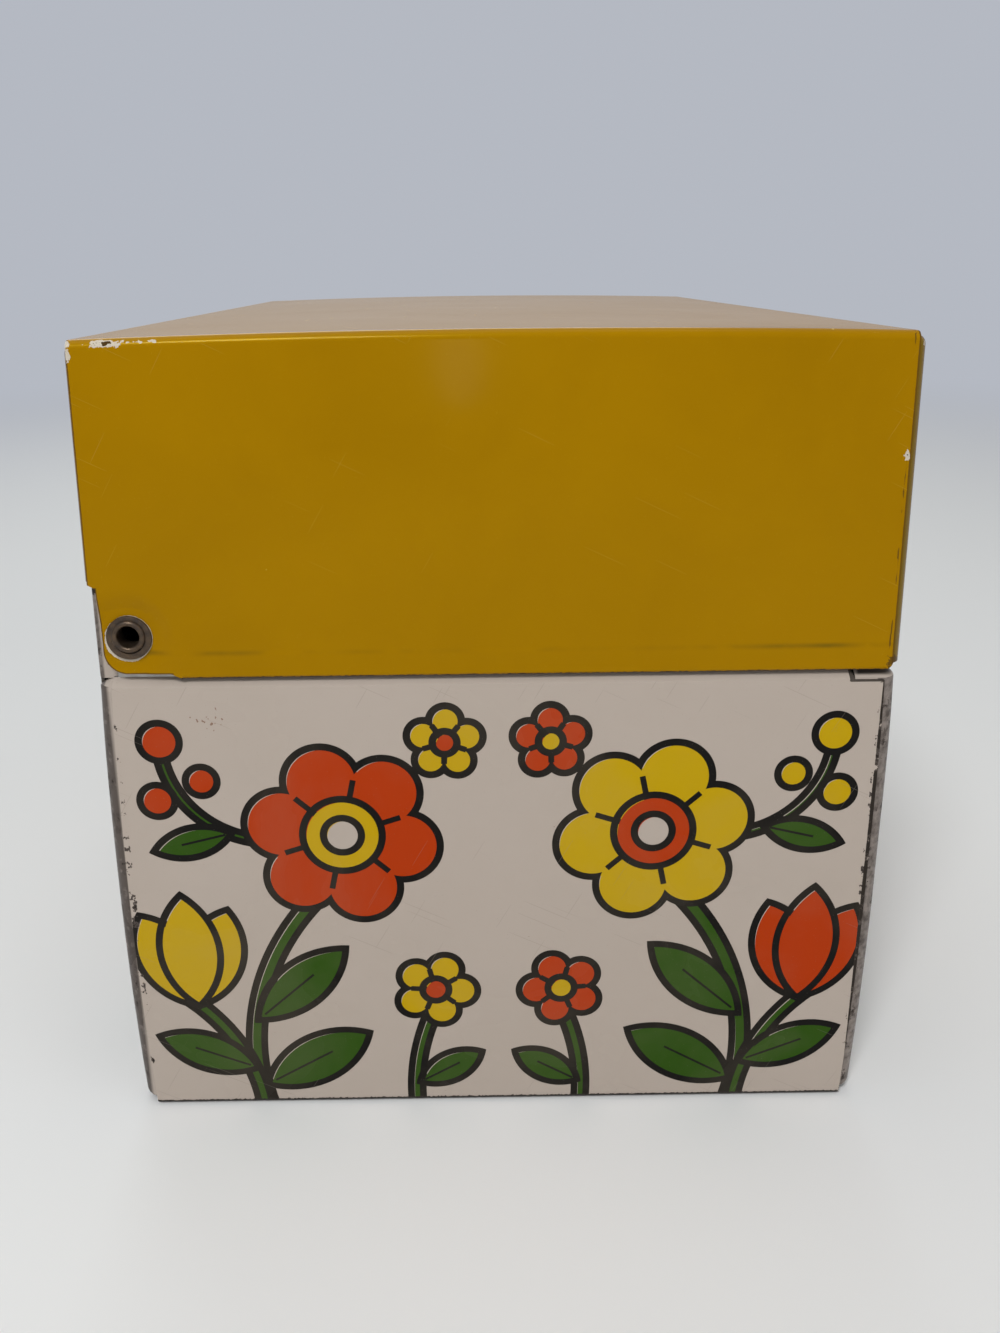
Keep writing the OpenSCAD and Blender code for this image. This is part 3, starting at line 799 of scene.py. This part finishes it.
def bodyEnamel(name, isWall, shift):
    material, tree, shader, place = newMaterial(name)
    x, y, z = splitVector(tree, place)
    away = absolute(tree, x)
    marks = useGroup(tree, fineMarks, Vector=place)
    wear = useGroup(tree, wearNoise, Vector=place)
    inked = useGroup(tree, floralPrint, Vector=joinVector(tree, x if isWall else y, z), Bed_Shift=shift)
    panel = below(tree, z, tin["shoulder"] - 0.2)
    if not isWall:
        panel = product(tree, panel, above(tree, away, tin["halfLength"] - 1.05))
    colour = mixColour(tree, panel, printSetup["white"], inked["Color"])
    soiled = mapNode(tree, marks["Smudge"], 0.4, 0.8, 0.0, 0.3)
    colour = mixColour(tree, soiled, colour, mixColour(tree, 0.5, colour, finish["soil"]))
    colour = mixColour(tree, product(tree, marks["Scratch"], 0.3), colour, finish["whiteScratch"])
    colour = mixColour(tree, product(tree, marks["Speck"], 0.55), colour, finish["scuffed"])

    # a patch of rust specks
    turned = joinVector(tree, away, y, z)
    fromRust = distanceFrom(tree, turned, bodyWear["rust"]["place"])
    rare = mapNode(tree, fromRust, *bodyWear["rust"]["reach"], 0.60, 0.90)
    spotted = above(tree, noiseNode(tree, place, 1.7, 2.0, 0.5), rare)
    colour = mixColour(tree, product(tree, spotted, 0.7), colour, finish["rust"])

    addWear = wallWear if isWall else endWear
    colour, limit, reachesUp = addWear(tree, colour, place, (away, y, z))
    primer = product(tree, isWorn(tree, wear, limit), reachesUp)
    metal = product(tree, isWorn(tree, wear, add(tree, limit, 0.08)), reachesUp)
    # painted shade and contact shadow along the bottom bend where it turns under, with a ragged edge, in
    # the bare-metal colour
    ragged = mapNode(tree, wear["Fine"], 0.3, 0.7, -0.15, 0.15)
    metal = highest(tree, metal, below(tree, add(tree, z, ragged), bodyWear["footShade"]))
    # painted shadow under the ear and the rear skirt, in the bare-metal colour
    for centre, stretch, radius in bodyWear["earShadows"] if isWall else ():
        earShadow = useGroup(tree, paintChip, Vector=turned, Centre=centre, Stretch=stretch, Radius=radius)
        metal = highest(tree, metal, earShadow["Primer"])
    colour = mixColour(tree, primer, colour, finish["scuffed"])
    colour = mixColour(tree, metal, colour, finish["bareMetal"])
    plugAll(tree, shader, Base_Color=colour, Metallic=product(tree, metal, 0.4))
    finishEnamel(tree, shader, place, marks, highest(tree, primer, metal), bodyWear["look"])
    return material


def plainTin(name, colour, dulled, roughness, metallic):
    # bare tinplate, streaked along X and a little rusty, for the inner faces and the cut edges
    material, tree, shader, place = newMaterial(name)
    marks = useGroup(tree, fineMarks, Vector=place)
    streak = noiseNode(tree, mappingNode(tree, place, scale=(0.05, 1, 1)), 0.9, 3.0)
    mixed = mixColour(tree, mapNode(tree, streak, 0.3, 0.7), colour, dulled)
    rust = mapNode(tree, noiseNode(tree, place, 0.16, 5.0, 0.7), 0.62, 0.75, 0.0, 0.7)
    mixed = mixColour(tree, rust, mixed, finish["tinRust"])
    height = subtract(tree, product(tree, streak, 0.4), marks["Scratch"])
    plugAll(tree, shader, Base_Color=mixed, Normal=bumpNode(tree, height, 0.25, 0.00005),
            Roughness=mapNode(tree, marks["Smudge"], 0.3, 0.7, *roughness),
            Metallic=mapNode(tree, rust, 0.0, 0.7, metallic, 0.0))
    return material


def agedBrass():
    material, tree, shader, place = newMaterial("agedBrass")
    patina = noiseNode(tree, place, 0.9, 4.0, 0.65)
    colour = mixColour(tree, mapNode(tree, patina, 0.35, 0.65), finish["brass"], finish["brassDark"])
    plugAll(tree, shader, Base_Color=colour, Metallic=mapNode(tree, patina, 0.35, 0.7, 0.9, 0.5),
            Roughness=mapNode(tree, patina, 0.3, 0.7, 0.32, 0.55),
            Normal=bumpNode(tree, noiseNode(tree, place, 3.0, 3.0), 0.3, 0.00005))
    return material


enamelLidEnds = lidEnamel("lidEnamelEnds", False)
enamelLidSkirts = lidEnamel("lidEnamelSkirts", True)
enamelEnds = bodyEnamel("bodyEnamelEnds", False, 0.0)
enamelWalls = bodyEnamel("bodyEnamelWalls", True, printSetup["bed"] / 2)
innerTin = plainTin("innerTin", finish["tinGrey"], finish["tinDull"], (0.32, 0.5), 0.85)
cutEdge = plainTin("cutEdge", finish["edgeGrey"], finish["edgeDull"], (0.45, 0.6), 0.7)
brassOld = agedBrass()
print("materials made")


# Sheet metal. Each sheet starts from its CAD solid, is cut into a grid and gets its pillowed shape

def smooth(value, low, high):
    t = min(1.0, max(0.0, (value - low) / (high - low)))
    return t * t * (3 - 2 * t)


def arch(t):
    t = min(1.0, max(0.0, t))
    return 4 * t * (1 - t)


def bodyPillow(p):
    x, y, z = p
    t = z / tin["shoulder"]
    held = smooth(t, pillow["bodyTopFrom"], 1.0) * (1 - smooth(z, tin["shoulder"], tin["rim"]))
    lean = pillow["bodyTopFront"] if y < 0 else pillow["bodyTopRear"]
    y += y / tin["halfWidth"] * (pillow["bodySide"] * arch(t) + lean * held)
    x += x / tin["halfLength"] * pillow["bodyEnd"] * arch(t) * (1 - (y / tin["halfWidth"]) ** 2)
    atCorner = smooth(p.y, *pillow["rearOutY"]) * smooth(abs(p.x), *pillow["rearOutX"])
    atCorner *= smooth(t, pillow["rearOutFrom"], 1.0)
    lost = pillow["rearOutLost"] * smooth(z, tin["rim"] - pillow["rearOutLoss"], tin["rim"])
    return Vector((x, y + pillow["rearOut"] * atCorner * (1 - lost), z))


def lidPillow(p):
    x, y, z = p
    t = (z - tin["lidEdge"]) / (tin["top"] - tin["lidEdge"])
    fromHinge = math.hypot(y - hinge.y, z - hinge.z)
    free = smooth(z, *pillow["skirtCut"]) if y > 0 else 1
    flare = pillow["lidFlareRear"] if y > 0 else pillow["lidFlareFront"]
    y += y / tin["halfWidth"] * flare * (1 - t) * free
    spread = 1 - (y / tin["halfWidth"]) ** 2
    x += x / tin["halfLength"] * pillow["lidEnd"] * arch(t) * spread
    # the folded edge stands out a little below its crease
    blend = pillow["hemBlend"]
    step = pillow["hemStep"] * smooth(tin["lidEdge"] + tin["hem"] - z, -blend, blend)
    if abs(x) > tin["cornerX"] + tin["cornerRadius"]:
        x += math.copysign(step * smooth(fromHinge, *pillow["hemFromHinge"]), x)
    elif y < -tin["cornerY"]:
        y -= step * smooth(tin["cornerX"] - abs(x), 0.0, pillow["hemFromCorner"])
    rise = pillow["lidLift"] + pillow["lidCrown"] * max(0.0, spread)
    z += rise * smooth(t, pillow["liftFrom"], 1.0)
    if y > 0:
        fade = smooth(p.z, tin["rearEdge"], tin["rearEdge"] + pillow["skirtFade"])
        z += pillow["skirtLift"] * free * (1 - fade)
    return Vector((x, y, z))


def reachRound(p):
    # the lid's end panels lap a little further round the corners
    front, rear = pillow["endReach"]
    frontFrom, rearFrom = pillow["endReachFrom"]
    reach = rear * smooth(p.y, tin["lidEndRear"] - rearFrom, tin["lidEndRear"])
    reach *= smooth(p.z, *pillow["skirtCut"])
    reach -= front * smooth(-p.y, tin["lidEndFront"] - frontFrom, tin["lidEndFront"])
    return p + Vector((0, reach * smooth(abs(p.x), *pillow["endReachX"]), 0))


def radialOut(p):
    # direction out of a long wall and its corner bends
    x, y, _ = p
    return Vector((math.copysign(max(abs(x) - tin["cornerX"], 0), x),
                   math.copysign(max(abs(y) - tin["cornerY"], 0), y), 0))


def wrapOut(p, base, flip):
    # direction out of an end panel and of the bottom or top that it is bent from
    inset = abs(p.x) - (tin["halfLength"] - tin["edgeRadius"])
    rise = tin["edgeRadius"] - flip * (p.z - base)
    return Vector((math.copysign(max(inset, 0), p.x), 0, -flip * max(rise, 0)))


sheetPieces = {
    "body_wrap": {"body": "box", "slot": "printed_body_enamel", "paint": enamelEnds, "wrap": (0.0, 1)},
    "front_wall": {"body": "box", "slot": "printed_body_enamel", "paint": enamelWalls},
    "rear_wall": {"body": "box", "slot": "printed_body_enamel", "paint": enamelWalls},
    "lid_wrap": {"body": "lid", "slot": "lid_enamel", "paint": enamelLidEnds, "wrap": (tin["top"], -1)},
    "lid_front": {"body": "lid", "slot": "lid_enamel", "paint": enamelLidSkirts},
    "lid_rear": {"body": "lid", "slot": "lid_enamel", "paint": enamelLidSkirts},
}


def cutGrid(bm, spacing, extra):
    low = [min(v.co[axis] for v in bm.verts) for axis in range(3)]
    high = [max(v.co[axis] for v in bm.verts) for axis in range(3)]
    for axis in range(3):
        steps = max(1, round((high[axis] - low[axis]) / spacing[axis]))
        places = [low[axis] + (high[axis] - low[axis]) * step / steps for step in range(1, steps)]
        places += extra.get(axis, [])
        normal = [0, 0, 0]
        normal[axis] = 1
        for place in places:
            point = [0, 0, 0]
            point[axis] = place
            bmesh.ops.bisect_plane(bm, geom=bm.verts[:] + bm.edges[:] + bm.faces[:], dist=1e-4,
                                   plane_co=point, plane_no=normal)


def softenShoulder(bm):
    # the shoulder's folds are bends, not creases
    levels = [tin["shoulder"], tin["shoulder"] + tin["shoulderRise"]]
    levels += [level - tin["sheet"] / 2 for level in levels]
    least, greatest = pillow["shoulderAngles"]
    chosen = []
    for edge in bm.edges:
        a, b = (v.co.z for v in edge.verts)
        onLevel = abs(a - b) < 1e-3 and any(abs(a - level) < 2e-3 for level in levels)
        if onLevel and edge.is_manifold and least < edge.calc_face_angle(0) < greatest:
            chosen.append(edge)
    if chosen:
        bmesh.ops.bevel(bm, geom=chosen, offset=pillow["shoulderBend"], offset_type="OFFSET", segments=3,
                        profile=0.5, affect="EDGES", material=-1, clamp_overlap=True)


sideSense = {
    "flange": tin["edgeRadius"] + 0.45,  # height of the bottom or top flanges with their bends
    "facing": 0.25,  # least share of a face's normal that makes it an outer or inner face
}


def sideOf(centre, normal, spec):
    # the folded-in layer of a hem shows the painted side to the inside
    if "wrap" in spec:
        out = wrapOut(centre, *spec["wrap"])
    else:
        out = radialOut(centre)
        if spec["body"] == "box" and centre.z < sideSense["flange"]:
            out.z -= 1
        if spec["body"] == "lid" and centre.z > tin["top"] - sideSense["flange"]:
            out.z += 1
    if out.length < 1e-6:
        return "inside"
    facing = normal.dot(out.normalized())
    if facing < -sideSense["facing"]:
        return "return" if inHem(centre, spec) else "inside"
    return "outside" if facing > sideSense["facing"] else "edge"


def inHem(centre, spec):
    face = tin["halfLength"] - abs(centre.x) if "wrap" in spec else tin["halfWidth"] - abs(centre.y)
    if spec["body"] == "lid":
        return centre.z < tin["lidEdge"] + tin["hem"] and face > 2 * tin["sheet"]
    stepIn = 0.0 if centre.y > tin["cornerY"] and "wrap" not in spec else tin["stepIn"]
    return centre.z > tin["rim"] - tin["hem"] - 0.01 and face > stepIn + 2 * tin["sheet"]


def makePiece(name, node, bm, sharpAngle, materials, body):
    # turns a mesh in millimetres into the piece that stands for one CAD node
    bmesh.ops.scale(bm, vec=(mm, mm, mm), verts=bm.verts)
    for face in bm.faces:
        face.smooth = True
    mesh = bpy.data.meshes.new(name)
    bm.to_mesh(mesh)
    bm.free()
    mesh.set_sharp_from_angle(angle=math.radians(sharpAngle))
    for material in materials:
        mesh.materials.append(material)
    piece = addObject(name, mesh)
    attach(piece, body)
    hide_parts(node)
    print("made", name, len(mesh.polygons), "faces")
    return piece


def makeSheet(node, spec):
    bm = bmesh.new()
    bm.from_mesh(frame["nodes"][node].data)
    bmesh.ops.scale(bm, vec=(1 / mm, 1 / mm, 1 / mm), verts=bm.verts)
    bmesh.ops.remove_doubles(bm, verts=bm.verts, dist=2e-4)
    bmesh.ops.dissolve_limit(bm, angle_limit=math.radians(0.4), verts=bm.verts, edges=bm.edges)
    softenShoulder(bm)
    extra = {}
    if spec["body"] == "lid" and node != "lid_rear":
        crease = tin["lidEdge"] + tin["hem"]
        extra = {2: [crease + part for part in pillow["hemLines"]] + list(pillow["skirtCut"])}
    cutGrid(bm, pillow["grid"], extra)
    bm.normal_update()
    zones = {"outside": 0, "return": 0, "inside": 1, "edge": 2}
    for face in bm.faces:
        face.material_index = zones[sideOf(face.calc_center_median(), face.normal, spec)]
    shape = lidPillow if spec["body"] == "lid" else bodyPillow
    for vert in bm.verts:
        vert.co = shape(reachRound(vert.co) if node == "lid_wrap" else vert.co)
    materials = (spec["paint"], innerTin, cutEdge)
    piece = makePiece(node + "Sheet", node, bm, 32, materials, spec["body"])
    weighted = piece.modifiers.new("evenNormals", "WEIGHTED_NORMAL")
    weighted.keep_sharp = True


for node, spec in sheetPieces.items():
    makeSheet(node, spec)


# Hinge: hollow eyelets and the washers under their heads

eyeletSize = {"hole": 1.2, "barrel": 1.5, "head": 1.85, "clinch": 1.95, "rollSteps": 10}
washerSize = {"inner": 1.75, "outer": 2.5, "edge": 0.07}
turnSteps = 64


def spinProfile(name, node, points, side, centreZ):
    # turns a closed outline, given as radius and place along X, about the hinge line
    bm = bmesh.new()
    verts = [bm.verts.new((place * side, hinge.y, centreZ + radius)) for radius, place in points]
    edges = [bm.edges.new((verts[i], verts[(i + 1) % len(verts)])) for i in range(len(verts))]
    bmesh.ops.spin(bm, geom=verts + edges, cent=(0, hinge.y, centreZ), axis=(1, 0, 0), angle=2 * math.pi,
                   steps=turnSteps, use_merge=True, use_duplicate=False)
    bmesh.ops.remove_doubles(bm, verts=bm.verts, dist=1e-4)
    bmesh.ops.recalc_face_normals(bm, faces=bm.faces)
    makePiece(name, node, bm, 40, (brassOld,), "box")


def roundOver(centre, radius, start, end):
    steps = eyeletSize["rollSteps"]
    angles = [math.radians(start + (end - start) * i / steps) for i in range(steps + 1)]
    return [(centre[0] + radius * math.cos(a), centre[1] + radius * math.sin(a)) for a in angles]


def spanAlongX(node):
    low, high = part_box(node)
    return sorted((abs(low.x) / mm, abs(high.x) / mm))


def eyeletOutline(inner, outer):
    hole, barrel = eyeletSize["hole"], eyeletSize["barrel"]
    headRoll, clinchRoll = ((eyeletSize[key] - hole) / 2 for key in ("head", "clinch"))
    return (roundOver((hole + headRoll, outer - headRoll), headRoll, 180, 0)
            + [(barrel, outer - headRoll), (barrel, inner + clinchRoll)]
            + roundOver((hole + clinchRoll, inner + clinchRoll), clinchRoll, 0, -180))


def washerOutline(inner, outer):
    hole, rim, e = washerSize["inner"], washerSize["outer"], washerSize["edge"]
    return [(hole, inner), (hole, outer - e), (hole + e, outer), (rim - 2 * e, outer),
            (rim - 0.5 * e, outer - 0.6 * e), (rim, outer - 1.6 * e), (rim, inner)]


for label, side in (("left", -1), ("right", 1)):
    node = "hinge_eyelet_" + label
    spinProfile("eyelet" + label.title(), node, eyeletOutline(*spanAlongX(node)), side, hinge.z)
    node = "hinge_washer_" + label
    low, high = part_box(node)
    middle = (low.z + high.z) / 2 / mm
    spinProfile("washer" + label.title(), node, washerOutline(*spanAlongX(node)), side, middle)
print("hinge made")


# Floor and light

studio = {
    "floor": (0.80, 0.795, 0.79, 1),
    "background": (0.46, 0.485, 0.54, 1),
    "world": 0.30,
    "fade": (0.22, 0.95),  # where the floor turns into the background, in metres
}


def seenDirectly(tree):
    path = addNode(tree, "LightPath")
    seen = highest(tree, path["Is Glossy Ray"], path["Is Transmission Ray"])
    return highest(tree, path["Is Camera Ray"], seen)


def makeFloor():
    bm = bmesh.new()
    bmesh.ops.create_grid(bm, x_segments=2, y_segments=2, size=3.0)
    mesh = bpy.data.meshes.new("floor")
    bm.to_mesh(mesh)
    bm.free()
    floor = addObject("floor", mesh)
    material = bpy.data.materials.new("paleFloor")
    material.use_nodes = True
    tree = material.node_tree
    shader = tree.nodes["Principled BSDF"]
    plugAll(tree, shader, Base_Color=studio["floor"], Roughness=0.75)
    far = addNode(tree, "Emission", Color=studio["background"], Strength=1.0)[0]
    reach = vectorNode(tree, "LENGTH", addNode(tree, "TexCoord")["Object"])
    fade = addNode(tree, "MapRange", {"interpolation_type": "SMOOTHSTEP"}, Value=reach,
                   From_Min=studio["fade"][0], From_Max=studio["fade"][1])[0]
    mixed = mixShaders(tree, product(tree, fade, seenDirectly(tree)), shader.outputs[0], far)
    plugAll(tree, tree.nodes["Material Output"], Surface=mixed)
    mesh.materials.append(material)


def makeWorld():
    world = bpy.data.worlds.new("studio")
    world.use_nodes = True
    tree = world.node_tree
    lit = plugAll(tree, tree.nodes["Background"], Color=(1, 1, 1, 1), Strength=studio["world"])[0]
    seen = addNode(tree, "Background", Color=studio["background"], Strength=1.0)[0]
    mixed = mixShaders(tree, seenDirectly(tree), lit, seen)
    plugAll(tree, tree.nodes["World Output"], Surface=mixed)
    bpy.context.scene.world = world


lamps = {  # place, aim, size, power, colour
    "keyLamp": ((-0.48, 0.14, 0.55), (0, 0, 0.06), (0.20, 0.18), 2.6, (0.97, 0.99, 1.0)),
    "fillLamp": ((-0.5, -0.7, 0.45), (0, 0, 0.05), (0.7, 0.55), 1.0, (1.0, 0.96, 0.91)),
    "topLamp": ((-0.10, 0.05, 0.75), (0, 0, 0.08), (0.55, 0.55), 0.7, (0.90, 0.985, 1.0)),
    "backLamp": ((0.62, 0.1, 0.55), (0, 0, 0.06), (0.7, 0.45), 1.4, (0.93, 0.99, 1.0)),
    "glowLamp": ((-0.42, 0.004, 0.090), (0, 0, 0.085), (0.02, 0.055), 0.016, (1.0, 1.0, 1.0)),
}


def makeLamp(name, place, aim, size, power, colour):
    data = bpy.data.lights.new(name, "AREA")
    data.shape = "ELLIPSE"
    data.size, data.size_y = size
    data.energy = power
    data.color = colour
    lamp = addObject(name, data)
    lamp.location = place
    lamp.rotation_mode = "QUATERNION"
    lamp.rotation_quaternion = (Vector(aim) - Vector(place)).to_track_quat("-Z", "Y")


makeFloor()
makeWorld()
for name, lamp in lamps.items():
    makeLamp(name, *lamp)
bpy.context.scene.view_settings.view_transform = "Standard"
